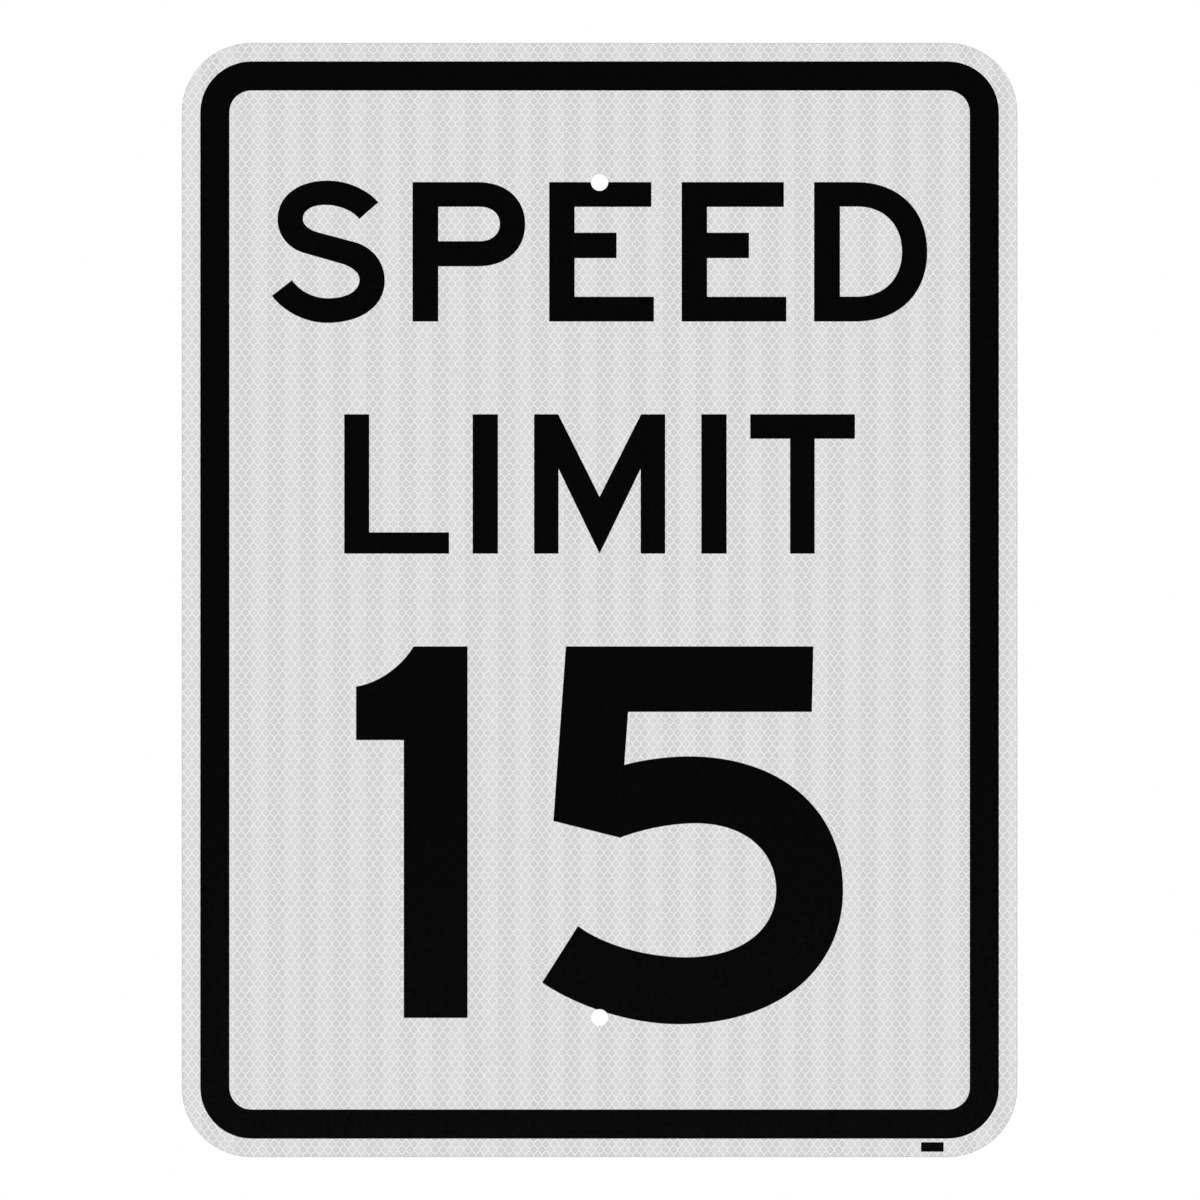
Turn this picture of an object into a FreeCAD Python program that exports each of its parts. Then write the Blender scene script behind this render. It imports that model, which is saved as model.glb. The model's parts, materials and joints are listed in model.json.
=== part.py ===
"""A speed limit sign of 15: a sheet aluminium blank with a reflective face and black print on it.

Millimetres. +Z is up, +X is to the right of someone who reads the sign, and the face looks along -Y.
The origin is on the blank's flat back, midway between the two holes for the post bolts.
"""

import FreeCAD, Part
import math
import os

INCH = 25.4

# Blank
sign_width = 18 * INCH
sign_height = 24 * INCH
corner_radius = 1.5 * INCH
blank_thickness = 0.08 * INCH
edge_round = 0.25

# Holes for the post bolts, one near the top and one near the foot, on the centre line
hole_diameter = 0.375 * INCH
hole_to_edge = 3 * INCH
hole_chamfer = 0.3

# Layers on the front: reflective sheeting, then the black film of the border and the numerals
sheeting_thickness = 0.4
film_thickness = 0.08

# Border band, concentric with the blank's rounded corners
border_inset = 0.4 * INCH
border_width = 0.625 * INCH

# Small plain bar in the margin below the border
bar_width = 12.3
bar_to_side = 40.4
bar_to_border = 2.04
bar_to_foot = 3.0

# Numerals: how tall they are, and how far their feet stand above the sign's lower edge
numeral_height = 8 * INCH
numeral_foot_to_edge = 3 * INCH

# Shapes of the numerals, in hundredths of their height
HEIGHT = 100
numeral_gap = 20.1
one_width = 30
one_stem = 17.15
one_flag_foot = 74.8
one_flag_tip = 89.2
one_sweep = 14.5
five_width = 81.0
five_stroke = 18.0
five_bar_length = 66.6
five_bar_depth = 17.6
five_bar_slant = 0.4
five_leg_inset = 6.4
five_leg_foot = 53.0
five_leg_lean = 0.072
five_bowl_top = 70.4
five_shoulder_drop = 2.3
five_throat_drop = 3.9
five_overshoot = 1.7
five_tail_height = 9.5
five_tail_degrees = 57.6

# How full a curve is between two straight directions: 0.55 makes a quarter of an ellipse, more is squarer
BEND_FULLNESS = 0.6

# Planes that the layers start from, counted back from the face, and the front of them all
sheeting_back = -blank_thickness
film_back = sheeting_back - sheeting_thickness
front = film_back - film_thickness

# The numerals' grid: its step, its foot, and the left of each numeral, with the pair centred on the sign
step = numeral_height / HEIGHT
numeral_foot = numeral_foot_to_edge - sign_height / 2
one_left = -(one_width + numeral_gap + five_width) / 2 * step
five_left = one_left + (one_width + numeral_gap) * step


def panel(inset, back, thickness):
    """A slab in the sign's outline moved in by inset, with its corners concentric with the blank's."""
    width = sign_width - 2 * inset
    height = sign_height - 2 * inset
    slab = Part.makeBox(width, thickness, height, FreeCAD.Vector(-width / 2, back - thickness, -height / 2))
    corners = [edge for edge in slab.Edges if edge.BoundBox.YLength > thickness / 2]
    if inset < corner_radius:
        slab = slab.makeFillet(corner_radius - inset, corners)
    return slab


def bolt_holes():
    """What the punch takes out for each bolt: a straight hole through all the layers, dressed at the back."""
    radius = hole_diameter / 2
    behind = -front
    forward = FreeCAD.Vector(0, -1, 0)
    holes = []
    for side in (-1, 1):
        up = side * (sign_height / 2 - hole_to_edge)
        shank = Part.makeCylinder(radius, 3 * behind, FreeCAD.Vector(0, behind, up), forward)
        mouth = Part.makeCone(radius + hole_chamfer, radius, hole_chamfer, FreeCAD.Vector(0, 0, up), forward)
        holes.append(shank.fuse(mouth))
    return holes


def punched(shape):
    """The shape with the bolt holes taken out."""
    return shape.cut(bolt_holes())


class Outline:
    """A numeral's outline on the sheeting, drawn in hundredths of its height from its left and its foot."""

    def __init__(self, left, across, up):
        self.left = left
        self.start = self.place(across, up)
        self.here = self.start
        self.sides = []

    def place(self, across, up):
        """A point of the outline, on the front of the sheeting."""
        return FreeCAD.Vector(self.left + across * step, film_back, numeral_foot + up * step)

    def line(self, across, up):
        """A straight side."""
        end = self.place(across, up)
        self.sides.append(Part.LineSegment(self.here, end).toShape())
        self.here = end

    def bend(self, corner, end):
        """A round side that leaves towards the corner and arrives from it."""
        corner = self.place(*corner)
        end = self.place(*end)
        leave = self.here + (corner - self.here) * BEND_FULLNESS
        arrive = end + (corner - end) * BEND_FULLNESS
        curve = Part.BezierCurve()
        curve.setPoles([self.here, leave, arrive, end])
        self.sides.append(curve.toShape())
        self.here = end

    def film(self):
        """The outline, closed with a straight side, as a piece of film."""
        self.sides.append(Part.LineSegment(self.here, self.start).toShape())
        face = Part.Face(Part.Wire(self.sides))
        return face.extrude(FreeCAD.Vector(0, -film_thickness, 0))


def aluminium_blank():
    """One flat sheet with rounded corners, dressed edges and two punched holes."""
    sheet = panel(0, 0, blank_thickness)
    rim = [edge for edge in sheet.Edges if edge.BoundBox.YLength < blank_thickness / 2]
    return punched(sheet.makeFillet(edge_round, rim))


def reflective_sheeting():
    """It covers the flat of the front, up to where the blank's edge starts to round off."""
    return punched(panel(edge_round, sheeting_back, sheeting_thickness))


def border_band():
    """The black band that runs round the face."""
    outer = panel(border_inset, film_back, film_thickness)
    inner = panel(border_inset + border_width, film_back, film_thickness)
    return punched(outer.cut(inner))


def corner_bar():
    """The small black bar in the margin below the border, near the right-hand corner."""
    height = border_inset - bar_to_border - bar_to_foot
    left = sign_width / 2 - bar_to_side - bar_width
    foot = bar_to_foot - sign_height / 2
    return Part.makeBox(bar_width, film_thickness, height, FreeCAD.Vector(left, front, foot))


def numeral_one():
    """A plain stem, and a flag whose top sweeps up to the head in a hollow curve."""
    stem_left = one_width - one_stem
    outline = Outline(one_left, 0, one_flag_foot)
    outline.line(stem_left, one_flag_foot)
    outline.line(stem_left, 0)
    outline.line(one_width, 0)
    outline.line(one_width, HEIGHT)
    outline.line(one_width - one_sweep, HEIGHT)
    outline.bend((9.9, 90.7), (0, one_flag_tip))
    return punched(outline.film())


def numeral_five():
    """A bar and a leaning leg over a round bowl that ends in a slanting tail.

    The stroke keeps its width all the way, so the inside of the leg and of the bowl follow the outside.
    """
    bar_right = five_leg_inset + five_bar_length
    bar_foot = HEIGHT - five_bar_depth
    shoulder = five_bowl_top - five_shoulder_drop
    bowl_foot = -five_overshoot
    bowl_middle = (five_bowl_top + bowl_foot) / 2
    inside_right = five_width - five_stroke
    inside_top = five_bowl_top - five_stroke
    inside_foot = bowl_foot + five_stroke
    tail_across = five_stroke * math.cos(math.radians(five_tail_degrees))
    tail_up = five_stroke * math.sin(math.radians(five_tail_degrees))

    def leg(up):
        """How far across the left side of the leg is at this height."""
        return five_leg_inset - five_leg_lean * (HEIGHT - up)

    outline = Outline(five_left, leg(HEIGHT), HEIGHT)
    outline.line(bar_right, HEIGHT)
    outline.line(bar_right - five_bar_slant, bar_foot)
    outline.line(leg(bar_foot) + five_stroke, bar_foot)
    outline.line(leg(shoulder) + five_stroke, shoulder)
    outline.bend((30.2, five_bowl_top), (39.4, five_bowl_top))
    outline.bend((five_width, five_bowl_top), (five_width, bowl_middle))
    outline.bend((five_width, bowl_foot), (36.6, bowl_foot))
    outline.bend((16.2, bowl_foot), (0, five_tail_height))
    outline.line(tail_across, five_tail_height + tail_up)
    outline.bend((20.8, inside_foot), (38.9, inside_foot))
    outline.bend((inside_right, inside_foot), (inside_right, bowl_middle))
    outline.bend((inside_right, inside_top), (41.3, inside_top))
    outline.bend((30.7, inside_top), (leg(five_leg_foot) + five_stroke, inside_top - five_throat_drop))
    outline.line(leg(five_leg_foot), five_leg_foot)
    return punched(outline.film())


pieces = {
    "aluminium_blank": aluminium_blank(),
    "reflective_sheeting": reflective_sheeting(),
    "border_band": border_band(),
    "corner_bar": corner_bar(),
    "numeral_one": numeral_one(),
    "numeral_five": numeral_five(),
}

os.makedirs("parts", exist_ok=True)
for name, shape in pieces.items():
    print(name, "solids:", len(shape.Solids), "valid:", shape.isValid())
    shape.exportStep("parts/" + name + ".step")
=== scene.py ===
"""The looks of a speed limit sign: an aluminium blank with prismatic sheeting and black film on its face.

Metres. +Z is up, +X is to the right of someone who reads the sign, and the face looks along -Y.
The CAD nodes keep their shapes and get materials. This script adds the sheeting's lattice and the words.
"""

import json
import math
from collections import namedtuple

import bmesh
import bpy
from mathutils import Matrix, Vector


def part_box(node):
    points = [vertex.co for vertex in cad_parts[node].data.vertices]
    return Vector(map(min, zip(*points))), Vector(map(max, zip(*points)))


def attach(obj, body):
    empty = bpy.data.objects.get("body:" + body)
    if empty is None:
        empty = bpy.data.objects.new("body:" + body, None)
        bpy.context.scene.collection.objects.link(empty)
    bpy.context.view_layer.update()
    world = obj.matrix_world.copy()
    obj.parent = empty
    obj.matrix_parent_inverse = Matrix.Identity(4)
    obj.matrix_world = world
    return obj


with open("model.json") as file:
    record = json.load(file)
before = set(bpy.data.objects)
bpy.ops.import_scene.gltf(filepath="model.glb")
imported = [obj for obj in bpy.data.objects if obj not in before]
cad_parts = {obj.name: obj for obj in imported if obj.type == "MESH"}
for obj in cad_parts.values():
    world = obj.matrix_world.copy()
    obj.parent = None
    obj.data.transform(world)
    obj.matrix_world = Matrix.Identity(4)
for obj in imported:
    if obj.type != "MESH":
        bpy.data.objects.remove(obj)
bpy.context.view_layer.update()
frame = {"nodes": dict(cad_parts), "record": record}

INCH = 0.0254

# Places read from the frame
blank_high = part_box("aluminium_blank")[1]
sheeting_low, sheeting_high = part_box("reflective_sheeting")
sheeting_front = sheeting_low.y
border_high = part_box("border_band")[1]
film_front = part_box("numeral_five")[0].y
bolts = next(mount for mount in frame["record"]["mounts"] if mount["name"] == "post_bolts")
hole_radius = bolts["dims"]["hole_r_mm"] / 1000
hole_up = bolts["dims"]["spacing_y_mm"] / 2 / 1000

# Corners of the blank: those of the sheeting and the border band are concentric with them
BLANK_CORNER_RADIUS = 1.5 * INCH

# Border band, as it covers the lattice
BORDER_WIDTH = 0.625 * INCH

# Lattice of the sheeting: a net of six-sided cells between short upright lines and long slanted ones.
# A cell's height goes from the middle of the upright line under it to the middle of the one over it.
CELL_WIDTH = 0.0045056
CELL_HEIGHT = 0.006252
UPRIGHT_HALF = 0.00048
LINE_WIDTH = 0.0005
LINE_HEIGHT = 0.00003
half_cell = CELL_WIDTH / 2
half_row = CELL_HEIGHT / 2

# How far a slanted line climbs, and how long it is, for each metre that it goes across
slope = (half_row - 2 * UPRIGHT_HALF) / half_cell
slant = math.hypot(1, slope)

# Seam where two rolls of the sheeting meet, and how far up the net stands on either side of it, in cells
SEAM_UP = 0.0005
SHIFT_ABOVE_SEAM = 0.154
SHIFT_BELOW_SEAM = 0.392

# A line that runs off its roll is cut at the place where it leaves, which is found by halving. Where a
# side of it stays on the roll but has no joint to end at, it ends a little short of the joint's place.
CUT_HALVINGS = 16
CUT_LINE_REACH = 0.998

# The lattice is shaded smooth where its surface turns by less than this
CREASE_ANGLE = math.radians(30)

# Tones that run upright in the sheeting: dark and light bands, and fine stripes, three to a cell
BAND_PERIOD = 4 * CELL_WIDTH
DARK_BAND_MIDDLE = 0.003
DARK_BAND_WIDTH = 0.0086
BAND_EDGE = 0.0004
STRIPE_PERIOD = CELL_WIDTH / 3
STRIPE_DEPTH = 0.03

# Tones of the face
LIGHT_BAND_TONE = 0.732
DARK_BAND_TONE = 0.679
LINE_TONE = 0.93
LINE_TONE_SPREAD = 0.01
FILM_TONE = 0.0012
FILM_TONE_SPREAD = 0.1 * FILM_TONE

# Where a line turns into a cell, and a cell's rim into its middle: from how far to how far off the line
LINE_EDGE = (0.00018, 0.00032)
CELL_RIM = (0.0005, 0.0012)

# Tones of a cell's rim and middle, as shares of its band's tone, and how much its corners are rounded
CELL_RIM_SHADE = 0.95
CELL_MIDDLE_SHADE = 1.01
CELL_ROUNDING = 0.0001

# Sheeting and its lines: the clear plastic on top, and the size, relief and roughness of its unevenness.
# A roughness is given where the unevenness is low and where it is high.
CLEAR_IOR = 1.49
SHEETING_GRAIN = (0.002, 0.002, 0.002)
SHEETING_RELIEF = 0.000004
SHEETING_ROUGHNESS = (0.26, 0.31)
LINE_GRAIN = (0.004, 0.004, 0.004)
LINE_ROUGHNESS = (0.32, 0.4)

# Film: it dips a little over each line of the lattice, and is level from the second of these distances
# on. Its own grain has a share of the dip's depth.
FILM_DIP = (0.0002, 0.0009)
FILM_DIP_ROUNDING = 0.0005
FILM_RELIEF = 0.00001
FILM_GRAIN = (0.0025, 0.0025, 0.0025)
FILM_GRAIN_SHARE = 0.4
FILM_ROUGHNESS = (0.22, 0.27)
FILM_SPECULAR = 0.25

# Aluminium: sizes of the grains that rolling draws out, of soft clouds and of the file's marks on edges
ROLLED_GRAIN = (0.0012, 0.05, 0.12)
WIDE_ROLLED_GRAIN = (0.006, 0.3, 0.4)
CLOUD = (0.09, 0.09, 0.14)
FILE_MARK = (0.0008, 0.004, 0.0008)
FILE_MARK_SHARE = 0.4
ALUMINIUM_RELIEF = 0.000012

# Tone of the aluminium, and what each of these adds to it at its strongest
ALUMINIUM_TONE = 0.69
GRAIN_TONE = 0.1
WIDE_GRAIN_TONE = 0.035
CLOUD_TONE = 0.02
EDGE_TONE = -0.3

# Roughness of the aluminium, and what each of these adds to it at its strongest
ALUMINIUM_ROUGHNESS = 0.3
GRAIN_ROUGHNESS = 0.06
CLOUD_ROUGHNESS = 0.04
EDGE_ROUGHNESS = 0.45

# How squarely the metal faces front or back, where 1 is square on: at the end of the flat, and at the
# place from where it is all edge
FLAT_TO_EDGE = (0.998, 0.96)

# Words above the numerals. A letter is drawn in hundredths of its height, so its top is at 100.
LETTER_HEIGHT = 3 * INCH
LETTER_TOP = 100
WORDS_TOP_TO_EDGE = 3 * INCH
SPACE_BETWEEN_WORDS = 2 * INCH
letter_step = LETTER_HEIGHT / LETTER_TOP

# Two heights on the sign that differ by less than this count as one
SAME_HEIGHT = 0.0001

# How full a letter's curve is between two straight directions, as on the numerals, and its facets
BEND_FULLNESS = 0.6
BEND_FACETS = 20

# Facets of the half of a bolt hole that is punched out of a letter
NOTCH_FACETS = 24

# Camera: how wide the photograph is at the face, and how far the sign's middle lies left of the
# photograph's. The lens and the sensor are in millimetres.
PHOTO_SPAN = 0.6565
PHOTO_SHIFT = 0.000235
LENS = 150
SENSOR = 36

# Floor: its tone and its glow, which give way to the white of the surroundings from some way out
FLOOR_UP = -1.35
FLOOR_RADIUS = 5.2
FLOOR_SIDES = 160
FLOOR_FADE_FROM = 3.0
FLOOR_TONE = 0.78
FLOOR_GLOW = 0.2
FLOOR_ROUGHNESS = 0.9

# Dark card behind the camera: its place, half its side and its colour
CARD_DEEP = -6
CARD_HALF = 4.0
CARD_COLOUR = (0.01, 0.01, 0.01, 1)

# Surroundings: how bright the camera sees them, and how strong their light is from below and from above
WHITE = (1, 1, 1, 1)
SEEN_STRENGTH = 1.0
LIGHT_FROM_BELOW = 0.23
LIGHT_FROM_ABOVE = 0.83


def add_piece(name, mesh, material):
    """Puts a finished piece of the sign in the scene, riding with it."""
    piece = bpy.data.objects.new(name, mesh)
    bpy.context.scene.collection.objects.link(piece)
    mesh.materials.append(material)
    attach(piece, "root")


def finished_mesh(name, shape):
    """A mesh of a closed shape, with its faces turned outwards."""
    bmesh.ops.recalc_face_normals(shape, faces=shape.faces)
    mesh = bpy.data.meshes.new(name)
    shape.to_mesh(mesh)
    shape.free()
    return mesh


# Materials


class Finish:
    """A node material, with a short way to write its maths."""

    # The part of its range that Blender's noise mostly stays in
    NOISE_LOW = 0.25
    NOISE_HIGH = 0.75

    def __init__(self, name):
        self.material = bpy.data.materials.new(name)
        self.material.use_nodes = True
        self.tree = self.material.node_tree
        self.shader = self.tree.nodes["Principled BSDF"]
        coordinates = self.tree.nodes.new("ShaderNodeTexCoord")
        self.place = coordinates.outputs["Object"]
        self.facing = coordinates.outputs["Normal"]

    def feed(self, socket, value):
        """Sets a socket to a number, or links it to another node's output. None leaves it as it is."""
        if isinstance(value, bpy.types.NodeSocket):
            self.tree.links.new(value, socket)
        elif value is not None:
            socket.default_value = value

    def math(self, operation, first, second=None, third=None):
        """One step of arithmetic, on numbers and other nodes' outputs."""
        node = self.tree.nodes.new("ShaderNodeMath")
        node.operation = operation
        for socket, value in zip(node.inputs, (first, second, third)):
            self.feed(socket, value)
        return node.outputs[0]

    def total(self, base, *parts):
        """A base and a share of each value, added up. Each part is a value and its share."""
        for value, share in parts:
            base = self.math("MULTIPLY_ADD", value, share, base)
        return base

    def between(self, value, low, high):
        """Low where the value is 0, high where it is 1, and evenly between them."""
        return self.total(low, (value, high - low))

    def ramp(self, value, start, end, low=0.0, high=1.0):
        """Low where the value is up to start, high where it is past end, and a soft step between them."""
        node = self.tree.nodes.new("ShaderNodeMapRange")
        node.interpolation_type = "SMOOTHSTEP"
        for socket, given in zip(node.inputs, (value, start, end, low, high)):
            self.feed(socket, given)
        return node.outputs[0]

    def split(self, vector):
        """The three parts of a vector."""
        node = self.tree.nodes.new("ShaderNodeSeparateXYZ")
        self.feed(node.inputs[0], vector)
        return node.outputs

    def noise(self, sizes, detail, fineness=0.5):
        """Noise from 0 to 1, whose grains have these sizes along X, Y and Z.

        Detail is how many finer layers it has, and fineness is how strong each is beside the one before.
        """
        stretch = self.tree.nodes.new("ShaderNodeVectorMath")
        stretch.operation = "DIVIDE"
        self.feed(stretch.inputs[0], self.place)
        self.feed(stretch.inputs[1], sizes)
        node = self.tree.nodes.new("ShaderNodeTexNoise")
        self.feed(node.inputs["Vector"], stretch.outputs[0])
        self.feed(node.inputs["Scale"], 1.0)
        self.feed(node.inputs["Detail"], detail)
        self.feed(node.inputs["Roughness"], fineness)
        return self.ramp(node.outputs["Fac"], self.NOISE_LOW, self.NOISE_HIGH)

    def bump(self, height, relief):
        """The surface's direction, where a height of 1 stands for this relief."""
        node = self.tree.nodes.new("ShaderNodeBump")
        self.feed(node.inputs["Height"], height)
        self.feed(node.inputs["Distance"], relief)
        return node.outputs[0]

    def set(self, **sockets):
        """Feeds the shader's sockets, whose names are written with underscores."""
        for name, value in sockets.items():
            self.feed(self.shader.inputs[name.replace("_", " ")], value)
        return self.material


def lattice_distance(finish, rounding):
    """How far a point is from the lattice's nearest line, rounded off in the cells' corners.

    The net is the same on both sides of each half column and half row, so a point folds into one small
    field. A slanted line crosses the field, and half an upright line stands at each of its two ends.
    """

    def from_upright(beside, past_end):
        """How far off an upright line is, with the way past its end simply added."""
        return finish.math("ADD", beside, finish.math("MAXIMUM", past_end, 0))

    across, _, up = finish.split(finish.place)
    above = finish.math("GREATER_THAN", up, SEAM_UP)
    shift = finish.between(above, SHIFT_BELOW_SEAM * CELL_HEIGHT, SHIFT_ABOVE_SEAM * CELL_HEIGHT)
    across = finish.math("PINGPONG", across, half_cell)
    up = finish.math("PINGPONG", finish.math("SUBTRACT", up, shift), half_row)
    over_lower = finish.math("SUBTRACT", up, UPRIGHT_HALF)
    under_upper = finish.math("SUBTRACT", half_row - UPRIGHT_HALF, up)
    lower = from_upright(across, over_lower)
    upper = from_upright(finish.math("SUBTRACT", half_cell, across), under_upper)
    off_slant = finish.math("ABSOLUTE", finish.total(over_lower, (across, -slope)))
    slanted = finish.math("DIVIDE", off_slant, slant)
    return finish.math("SMOOTH_MIN", slanted, finish.math("MINIMUM", lower, upper), rounding)


def upright_tone(finish):
    """The tone of the cells: crisp bands, and fine stripes whose light and dark swap from band to band."""
    across = finish.split(finish.place)[0]
    turn = math.tau / BAND_PERIOD
    from_dark_middle = finish.math("COSINE", finish.total(-DARK_BAND_MIDDLE * turn, (across, turn)))
    dark_end = math.cos((DARK_BAND_WIDTH - BAND_EDGE) / 2 * turn)
    light_start = math.cos((DARK_BAND_WIDTH + BAND_EDGE) / 2 * turn)
    light = finish.ramp(from_dark_middle, dark_end, light_start)
    stripe = finish.math("COSINE", finish.math("MULTIPLY", across, math.tau / STRIPE_PERIOD))
    side = finish.between(light, STRIPE_DEPTH, -STRIPE_DEPTH)
    band = finish.between(light, DARK_BAND_TONE, LIGHT_BAND_TONE)
    return finish.math("MULTIPLY", band, finish.total(1.0, (stripe, side)))


def sheeting_finish():
    """White prismatic sheeting: upright bands of tone, cells with a darker rim, and a glossy top."""
    finish = Finish("white_prismatic_sheeting")
    distance = lattice_distance(finish, CELL_ROUNDING)
    shade = finish.ramp(distance, *CELL_RIM, CELL_RIM_SHADE, CELL_MIDDLE_SHADE)
    cell = finish.math("MULTIPLY", upright_tone(finish), shade)
    grain = finish.noise(SHEETING_GRAIN, detail=0.0)
    return finish.set(
        Base_Color=finish.ramp(distance, *LINE_EDGE, LINE_TONE, cell),
        Roughness=finish.between(grain, *SHEETING_ROUGHNESS),
        Normal=finish.bump(grain, SHEETING_RELIEF),
        IOR=CLEAR_IOR,
    )


def line_finish():
    """The sealed lines between the sheeting's cells: the same plastic, whiter with no prisms under it."""
    finish = Finish("white_sealed_lines")
    grain = finish.noise(LINE_GRAIN, detail=0.0)
    return finish.set(
        Base_Color=finish.between(grain, LINE_TONE - LINE_TONE_SPREAD, LINE_TONE + LINE_TONE_SPREAD),
        Roughness=finish.between(grain, *LINE_ROUGHNESS),
        IOR=CLEAR_IOR,
    )


def film_finish():
    """Opaque satin black film, with the lattice under it just felt in the gloss."""
    finish = Finish("satin_black_film")
    grain = finish.noise(FILM_GRAIN, detail=1.0)
    beside_dip = finish.ramp(lattice_distance(finish, FILM_DIP_ROUNDING), *FILM_DIP)
    height = finish.total(beside_dip, (grain, FILM_GRAIN_SHARE))
    return finish.set(
        Base_Color=finish.between(grain, FILM_TONE - FILM_TONE_SPREAD, FILM_TONE + FILM_TONE_SPREAD),
        Roughness=finish.between(grain, *FILM_ROUGHNESS),
        Normal=finish.bump(height, FILM_RELIEF),
        Specular_IOR_Level=FILM_SPECULAR,
    )


def aluminium_finish():
    """Bare sheet as the mill rolls it: a faint grain up its length, and duller filed edges."""
    finish = Finish("mill_aluminium")
    squareness = finish.math("ABSOLUTE", finish.split(finish.facing)[1])
    edge = finish.ramp(squareness, *FLAT_TO_EDGE)
    grain = finish.noise(ROLLED_GRAIN, detail=4.0, fineness=0.8)
    wide_grain = finish.noise(WIDE_ROLLED_GRAIN, detail=3.0)
    cloud = finish.noise(CLOUD, detail=3.0)
    filed = finish.math("MULTIPLY", finish.noise(FILE_MARK, detail=1.0), FILE_MARK_SHARE)
    height = finish.total(grain, (edge, finish.math("SUBTRACT", filed, grain)))
    tone = finish.total(
        ALUMINIUM_TONE,
        (grain, GRAIN_TONE),
        (wide_grain, WIDE_GRAIN_TONE),
        (cloud, CLOUD_TONE),
        (edge, EDGE_TONE),
    )
    roughness = finish.total(
        ALUMINIUM_ROUGHNESS,
        (grain, GRAIN_ROUGHNESS),
        (cloud, CLOUD_ROUGHNESS),
        (edge, EDGE_ROUGHNESS),
    )
    return finish.set(
        Base_Color=tone,
        Metallic=1.0,
        Roughness=roughness,
        Normal=finish.bump(height, ALUMINIUM_RELIEF),
    )


sheeting = sheeting_finish()
lines = line_finish()
film = film_finish()
aluminium = aluminium_finish()

FINISHES = {
    "aluminium_blank": (aluminium, "mill_aluminium"),
    "reflective_sheeting": (sheeting, "white_sheeting"),
    "border_band": (film, "black_film"),
    "corner_bar": (film, "black_film"),
    "numeral_one": (film, "black_film"),
    "numeral_five": (film, "black_film"),
}
for node_name, (material, slot_name) in FINISHES.items():
    node = frame["nodes"][node_name]
    node.data.materials.clear()
    node.data.materials.append(material)


# Lattice of the sheeting


def outside(across, up, inset):
    """How far a point of the face lies outside the sign's outline when that is moved in by inset."""
    radius = BLANK_CORNER_RADIUS - inset
    from_corner_x = abs(across) - (blank_high.x - BLANK_CORNER_RADIUS)
    from_corner_z = abs(up) - (blank_high.z - BLANK_CORNER_RADIUS)
    corner = math.hypot(max(from_corner_x, 0), max(from_corner_z, 0))
    return corner + min(max(from_corner_x, from_corner_z), 0) - radius


# A place where lines of the lattice meet: its points, and the numbers of their vertices, both by name
Joint = namedtuple("Joint", "points numbers")


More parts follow.
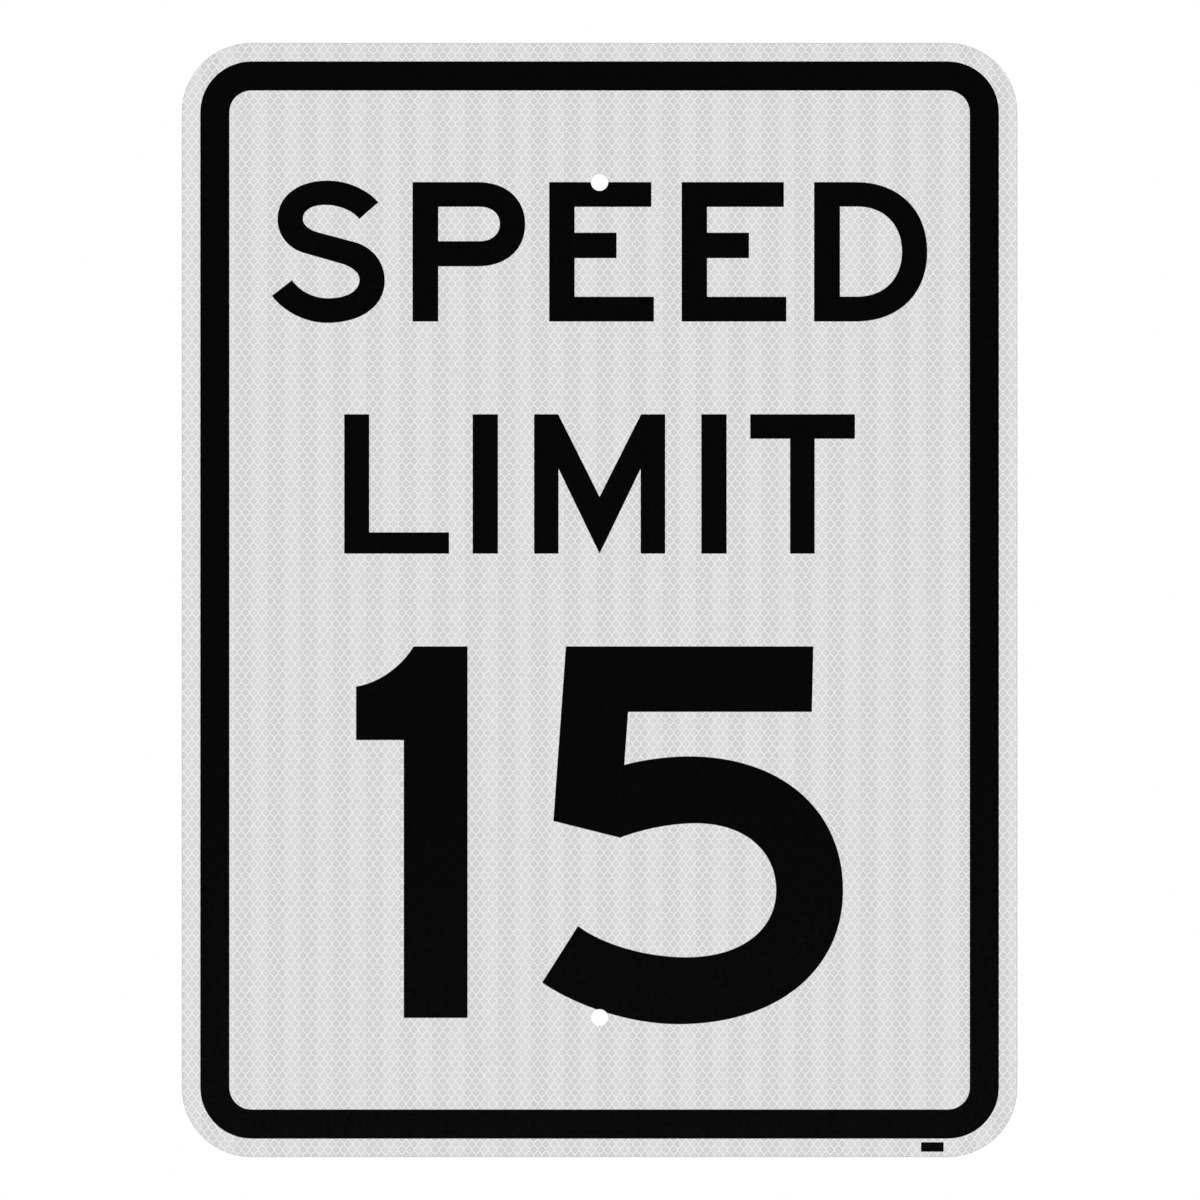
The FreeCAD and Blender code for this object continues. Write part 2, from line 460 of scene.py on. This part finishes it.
class Roll:
    """The lattice of one roll of sheeting, above or below the seam, as one closed mesh.

    Upright lines stand at every other crossing of half columns and half rows. Slanted lines join the top
    of each to the feet of its neighbours in the next half row. Three lines meet at a joint, which has a
    crest point in the middle and a foot point in each of the three cells round it. A line that is cut off
    by the sheeting's rim, the seam or a hole has end points of its own there.
    """

    def __init__(self, above):
        self.above = above
        self.shift = (SHIFT_ABOVE_SEAM if above else SHIFT_BELOW_SEAM) * CELL_HEIGHT
        self.joints = {}
        self.vertices = []
        self.faces = []

        # The sides of joints where no line has been joined on yet
        self.open_sides = {}

    def off_limits(self, point):
        """Above zero where the roll has no lattice, and below zero where it has."""
        across, _, up = point
        past_seam = SEAM_UP - up if self.above else up - SEAM_UP
        past_rim = outside(across, up, blank_high.x - sheeting_high.x)
        in_holes = [hole_radius - math.hypot(across, up - side * hole_up) for side in (-1, 1)]
        return max(past_seam, past_rim, *in_holes)

    def covered(self, point):
        """Whether the border band hides this place and half a cell's height all round it."""
        inset = blank_high.x - border_high.x
        beyond_outer = outside(point.x, point.z, inset + half_row)
        beyond_inner = outside(point.x, point.z, inset + BORDER_WIDTH - half_row)
        return beyond_outer < 0 < beyond_inner

    def crossing(self, column, row):
        """The place where a half column crosses a half row: an upright line's middle or a cell's."""
        return Vector((column * half_cell, sheeting_front, self.shift + row * half_row))

    def add(self, point):
        """Adds a vertex, and gives its number."""
        self.vertices.append(point)
        return len(self.vertices) - 1

    def joint(self, column, row, end):
        """The joint at the top (end 1) or the foot (end -1) of an upright line.

        Its foot points lie in the cells to the left and the right of the line and ahead of its end.
        The joint has vertices only if all four of its points lie on the roll.
        """
        key = (column, row, end)
        if key not in self.joints:
            half_line = LINE_WIDTH / 2
            ahead = half_row - UPRIGHT_HALF - half_line * slant
            beside = half_cell - half_line
            beside_up = end * (ahead - slope * beside)
            points = {
                "crest": self.crossing(column, row) + Vector((0, -LINE_HEIGHT, end * UPRIGHT_HALF)),
                "left": self.crossing(column - 1, row) + Vector((beside, 0, beside_up)),
                "right": self.crossing(column + 1, row) + Vector((-beside, 0, beside_up)),
                "ahead": self.crossing(column, row + end) + Vector((0, 0, -end * ahead)),
            }
            numbers = {}
            if all(self.off_limits(point) < 0 for point in points.values()):
                numbers = {name: self.add(point) for name, point in points.items()}
                self.faces.append((numbers["left"], numbers["right"], numbers["ahead"]))
                for first, second in (("left", "right"), ("left", "ahead"), ("right", "ahead")):
                    side = (numbers["crest"], numbers[first], numbers[second])
                    self.open_sides[frozenset(side)] = side
            self.joints[key] = Joint(points, numbers)
        return self.joints[key]

    def cut(self, near, far):
        """Where a side of a line from near to far leaves the roll, or else a little short of far."""
        if self.off_limits(far) <= 0:
            return near.lerp(far, CUT_LINE_REACH)
        inner, outer = near, far
        for _ in range(CUT_HALVINGS):
            middle = (inner + outer) / 2
            if self.off_limits(middle) < 0:
                inner = middle
            else:
                outer = middle
        return inner

    def line_end(self, joint, names, other_joint, other_names):
        """The three vertices at a line's end: those of its joint, or new ones where it is cut off."""
        if joint.numbers:
            end = tuple(joint.numbers[name] for name in names)
            del self.open_sides[frozenset(end)]
            return end
        starts = [other_joint.points[name] for name in other_names]
        ends = [joint.points[name] for name in names]
        end = tuple(self.add(self.cut(near, far)) for near, far in zip(starts, ends))
        self.faces.append(end)
        return end

    def line(self, first, first_feet, second, second_feet):
        """A line between two joints. Its feet are the foot points beside it, in one order at both ends."""
        if not first.numbers and not second.numbers:
            return
        first_names = ("crest", *first_feet)
        second_names = ("crest", *second_feet)
        first_end = self.line_end(first, first_names, second, second_names)
        second_end = self.line_end(second, second_names, first, first_names)
        crest, one_foot, other_foot = zip(first_end, second_end)
        self.faces.append((crest[0], crest[1], one_foot[1], one_foot[0]))
        self.faces.append((crest[1], crest[0], other_foot[0], other_foot[1]))
        self.faces.append((one_foot[0], one_foot[1], other_foot[1], other_foot[0]))

    def mesh(self, name):
        """All the lattice of the roll, apart from what lies well under the border band."""
        columns = math.ceil(sheeting_high.x / half_cell) + 1
        rows = math.ceil(sheeting_high.z / half_row) + 1
        for column in range(-columns, columns + 1):
            for row in range(-rows, rows + 1):
                if (column + row) % 2 or self.covered(self.crossing(column, row)):
                    continue
                top = self.joint(column, row, 1)
                foot = self.joint(column, row, -1)
                self.line(foot, ("left", "right"), top, ("left", "right"))
                for step, near, far in ((-1, "left", "right"), (1, "right", "left")):
                    next_foot = self.joint(column + step, row + 1, -1)
                    self.line(top, ("ahead", near), next_foot, (far, "ahead"))
        shape = bmesh.new()
        corners = [shape.verts.new(place) for place in self.vertices]
        for numbers in self.faces + list(self.open_sides.values()):
            shape.faces.new([corners[number] for number in numbers])
        mesh = finished_mesh(name, shape)
        mesh.shade_smooth()
        mesh.set_sharp_from_angle(angle=CREASE_ANGLE)
        return mesh


for roll_name, above_seam in (("sheeting_lattice_upper", True), ("sheeting_lattice_lower", False)):
    add_piece(roll_name, Roll(above_seam).mesh(roll_name), lines)


# Words above the numerals


class Outline:
    """A closed line, drawn in hundredths of the letters' height from a letter's left and its foot."""

    def __init__(self, across, up):
        self.points = [(across, up)]

    def line(self, *ends):
        """Straight sides to these points, one after another."""
        self.points.extend(ends)
        return self

    def bend(self, corner, end):
        """A round side that leaves towards the corner and arrives from it."""
        start = Vector(self.points[-1])
        corner = Vector(corner)
        end = Vector(end)
        leave = start.lerp(corner, BEND_FULLNESS)
        arrive = end.lerp(corner, BEND_FULLNESS)
        for facet in range(1, BEND_FACETS + 1):
            t = facet / BEND_FACETS
            s = 1 - t
            point = start * s**3 + leave * (3 * s * s * t) + arrive * (3 * s * t * t) + end * t**3
            self.points.append(tuple(point))
        return self

    def punch(self, across, radius):
        """Takes half of a round hole out of a side that runs along the letter's top at this place."""
        for number, (start, end) in enumerate(zip(self.points, self.points[1:])):
            if start[1] == end[1] == LETTER_TOP and start[0] < across < end[0]:
                notch = []
                for facet in range(NOTCH_FACETS + 1):
                    angle = math.pi * (1 + facet / NOTCH_FACETS)
                    up = LETTER_TOP + radius * math.sin(angle)
                    notch.append((across + radius * math.cos(angle), up))
                self.points[number + 1:number + 1] = notch
                return


def letter_s():
    outline = Outline(76.3, 85.5)
    outline.bend((63.3, 101.1), (40.1, 101.1)).bend((4.1, 101.1), (4.1, 73.2))
    outline.bend((4.1, 54.7), (22.8, 49.3))
    outline.line((50.4, 41.4)).bend((62.9, 37.7), (62.9, 30)).bend((62.9, 16.6), (40.2, 16.6))
    outline.bend((23.3, 16.6), (14.5, 29.6)).line((0, 18.4))
    outline.bend((14.5, -1), (39.5, -1)).bend((81, -1), (81, 29.3)).bend((81, 50.7), (59.9, 56.8))
    outline.line((32.2, 64.2)).bend((22.2, 67.1), (22.2, 73.7)).bend((22.2, 83.7), (38.1, 83.7))
    outline.bend((54.9, 83.7), (62.7, 73.6))
    return [outline]


def letter_p():
    outline = Outline(0, 0).line((0, 100), (46.9, 100))
    outline.bend((80.8, 100), (80.8, 69.8)).bend((80.8, 39.6), (46.9, 39.6))
    outline.line((18.4, 39.6), (18.4, 0))
    counter = Outline(18.4, 57.6).line((18.4, 82.4), (47.9, 82.4))
    counter.bend((62.7, 82.4), (62.7, 70)).bend((62.7, 57.6), (47.9, 57.6))
    return [outline, counter]


def letter_e():
    outline = Outline(0, 0).line((0, 100), (73.3, 100), (73.3, 82.3), (18.2, 82.3), (18.2, 63.7))
    outline.line((48.3, 63.7), (48.3, 45.5), (18.2, 45.5), (18.2, 17.7), (75.1, 17.7), (75.1, 0))
    return [outline]


def letter_d():
    outline = Outline(0, 0).line((0, 100), (30.3, 100))
    outline.bend((81.2, 100), (81.2, 50)).bend((81.2, 0), (30.3, 0))
    counter = Outline(18.5, 17.8).line((18.5, 82.5), (31, 82.5))
    counter.bend((63.1, 82.5), (63.1, 50)).bend((63.1, 17.8), (31, 17.8))
    return [outline, counter]


def letter_l():
    return [Outline(0, 0).line((0, 100), (17.9, 100), (17.9, 15.2), (75.2, 15.2), (75.2, 0))]


def letter_i():
    return [Outline(0, 0).line((0, 100), (18.1, 100), (18.1, 0))]


def letter_m():
    outline = Outline(0, 0).line((0, 100), (17.3, 100), (47, 40.7), (76.8, 100), (94.1, 100), (94.1, 0))
    return [outline.line((76.5, 0), (76.5, 61.1), (47, 0), (17.5, 61.1), (17.5, 0))]


def letter_t():
    outline = Outline(28.6, 0).line((28.6, 82.5), (0, 82.5), (0, 100), (75.1, 100), (75.1, 82.5))
    return [outline.line((46.2, 82.5), (46.2, 0))]


def film_mesh(name, outlines, left, foot):
    """A flat closed piece of film with these outlines, the outer one first and the counter after it."""
    shape = bmesh.new()
    for outline in outlines:
        ring = []
        for across, up in outline.points:
            place = (left + across * letter_step, sheeting_front, foot + up * letter_step)
            ring.append(shape.verts.new(place))
        for here, following in zip(ring, ring[1:] + ring[:1]):
            shape.edges.new((here, following))
    sides = shape.edges[:]
    bmesh.ops.triangle_fill(shape, edges=sides, use_beauty=True, normal=(0, 1, 0))
    back = shape.faces[:]
    rise = Vector((0, film_front - sheeting_front, 0))
    raised = {corner: shape.verts.new(corner.co + rise) for corner in shape.verts[:]}
    for face in back:
        shape.faces.new([raised[corner] for corner in face.verts])
    for side in sides:
        here, following = side.verts
        shape.faces.new((here, following, raised[following], raised[here]))
    return finished_mesh(name, shape)


# A letter of a word: the name of its piece, what draws it, its width and the gap after it
Letter = namedtuple("Letter", "name draw width gap")


def lay_word(word, foot):
    """Lays a word, centred on the sign. If its top is level with the bolt hole, that is punched out."""
    left = -sum(letter.width + letter.gap for letter in word) / 2 * letter_step
    at_hole = math.isclose(foot + LETTER_HEIGHT, hole_up, abs_tol=SAME_HEIGHT)
    for letter in word:
        outlines = letter.draw()
        if at_hole:
            outlines[0].punch(-left / letter_step, hole_radius / letter_step)
        add_piece(letter.name, film_mesh(letter.name, outlines, left, foot), film)
        left += (letter.width + letter.gap) * letter_step


UPPER_WORD = (
    Letter("speed_s", letter_s, width=81, gap=20),
    Letter("speed_p", letter_p, width=80.8, gap=17.3),
    Letter("speed_e_first", letter_e, width=75.1, gap=20),
    Letter("speed_e_second", letter_e, width=75.1, gap=20),
    Letter("speed_d", letter_d, width=81.2, gap=0),
)
LOWER_WORD = (
    Letter("limit_l", letter_l, width=75.2, gap=17),
    Letter("limit_i_first", letter_i, width=18.1, gap=26),
    Letter("limit_m", letter_m, width=94.1, gap=26),
    Letter("limit_i_second", letter_i, width=18.1, gap=17),
    Letter("limit_t", letter_t, width=75.1, gap=0),
)
upper_foot = blank_high.z - WORDS_TOP_TO_EDGE - LETTER_HEIGHT
lay_word(UPPER_WORD, upper_foot)
lay_word(LOWER_WORD, upper_foot - SPACE_BETWEEN_WORDS - LETTER_HEIGHT)


# Stage, light and camera


def aim(thing, target):
    """Turns a light or camera towards a point."""
    thing.rotation_euler = (Vector(target) - thing.location).to_track_quat("-Z", "Y").to_euler()


def add_soft_light(name, place, width, height, watts):
    """A panel of light that is turned to the sign's middle and doesn't show itself."""
    data = bpy.data.lights.new(name, "AREA")
    data.shape = "RECTANGLE"
    data.size = width
    data.size_y = height
    data.energy = watts
    light = bpy.data.objects.new(name, data)
    light.location = place
    light.visible_camera = False
    bpy.context.scene.collection.objects.link(light)
    aim(light, (0, 0, 0))


def add_stage_object(name, mesh, material):
    """Something that stands by the sign and isn't part of it."""
    thing = bpy.data.objects.new(name, mesh)
    bpy.context.scene.collection.objects.link(thing)
    mesh.materials.append(material)
    return thing


def add_floor():
    """A pale round floor well below the sign. It fades into the white surroundings towards its rim."""
    mesh = bpy.data.meshes.new("floor")
    shape = bmesh.new()
    bmesh.ops.create_circle(shape, cap_ends=True, radius=FLOOR_RADIUS, segments=FLOOR_SIDES)
    bmesh.ops.translate(shape, verts=shape.verts, vec=(0, 0, FLOOR_UP))
    shape.to_mesh(mesh)
    shape.free()
    finish = Finish("pale_floor")
    across, deep, _ = finish.split(finish.place)
    squares = finish.math("ADD", finish.math("POWER", across, 2), finish.math("POWER", deep, 2))
    fade = finish.ramp(finish.math("SQRT", squares), FLOOR_FADE_FROM, FLOOR_RADIUS)
    glow = finish.between(fade, FLOOR_GLOW, 1.0)
    rays = finish.tree.nodes.new("ShaderNodeLightPath")
    finish.set(
        Base_Color=finish.between(fade, FLOOR_TONE, 0.0),
        Roughness=FLOOR_ROUGHNESS,
        Specular_IOR_Level=0.0,
        Emission_Color=WHITE,
        Emission_Strength=finish.math("MULTIPLY", glow, rays.outputs["Is Camera Ray"]),
    )
    add_stage_object("floor", mesh, finish.material)


def add_dark_card():
    """A dark card behind the camera, seen only in gloss, so that black film is black from the front."""
    mesh = bpy.data.meshes.new("dark_card")
    signs = ((-1, -1), (1, -1), (1, 1), (-1, 1))
    corners = [(across * CARD_HALF, CARD_DEEP, up * CARD_HALF) for across, up in signs]
    mesh.from_pydata(corners, [], [(0, 1, 2, 3)])
    finish = Finish("dark_card")
    finish.set(Base_Color=CARD_COLOUR, Roughness=1.0, Specular_IOR_Level=0.0)
    card = add_stage_object("dark_card", mesh, finish.material)
    for rays in ("camera", "diffuse", "transmission", "volume_scatter", "shadow"):
        setattr(card, "visible_" + rays, False)


def add_surroundings():
    """White behind the sign, and a soft light that is brighter from above than from below."""
    world = bpy.data.worlds.new("studio")
    bpy.context.scene.world = world
    world.use_nodes = True
    nodes = world.node_tree.nodes
    links = world.node_tree.links
    coordinates = nodes.new("ShaderNodeTexCoord")
    direction = nodes.new("ShaderNodeSeparateXYZ")
    links.new(coordinates.outputs["Generated"], direction.inputs[0])
    strength = nodes.new("ShaderNodeMapRange")
    links.new(direction.outputs["Z"], strength.inputs["Value"])
    strength.inputs["From Min"].default_value = -1
    strength.inputs["From Max"].default_value = 1
    strength.inputs["To Min"].default_value = LIGHT_FROM_BELOW
    strength.inputs["To Max"].default_value = LIGHT_FROM_ABOVE
    rays = nodes.new("ShaderNodeLightPath")
    seen = nodes.new("ShaderNodeMix")
    links.new(rays.outputs["Is Camera Ray"], seen.inputs["Factor"])
    links.new(strength.outputs[0], seen.inputs["A"])
    seen.inputs["B"].default_value = SEEN_STRENGTH
    links.new(seen.outputs[0], nodes["Background"].inputs["Strength"])
    nodes["Background"].inputs["Color"].default_value = WHITE


def add_camera():
    """Straight in front of the face, with the photograph's width across it."""
    data = bpy.data.cameras.new("camera")
    data.lens = LENS
    data.sensor_width = SENSOR
    camera = bpy.data.objects.new("camera", data)
    bpy.context.scene.collection.objects.link(camera)
    camera.location = (PHOTO_SHIFT, film_front - PHOTO_SPAN * LENS / SENSOR, 0)
    aim(camera, (PHOTO_SHIFT, 0, 0))
    bpy.context.scene.camera = camera


add_floor()
add_dark_card()
add_surroundings()
add_soft_light("key", place=(-3.3, -2.7, 1.8), width=1.6, height=1.6, watts=67)
add_soft_light("fill", place=(3.4, -2.7, 1.2), width=1.6, height=1.4, watts=50)
add_soft_light("rear", place=(2.4, 2.8, 1.5), width=1.6, height=1.2, watts=45)
add_camera()
bpy.context.scene.view_settings.view_transform = "Standard"
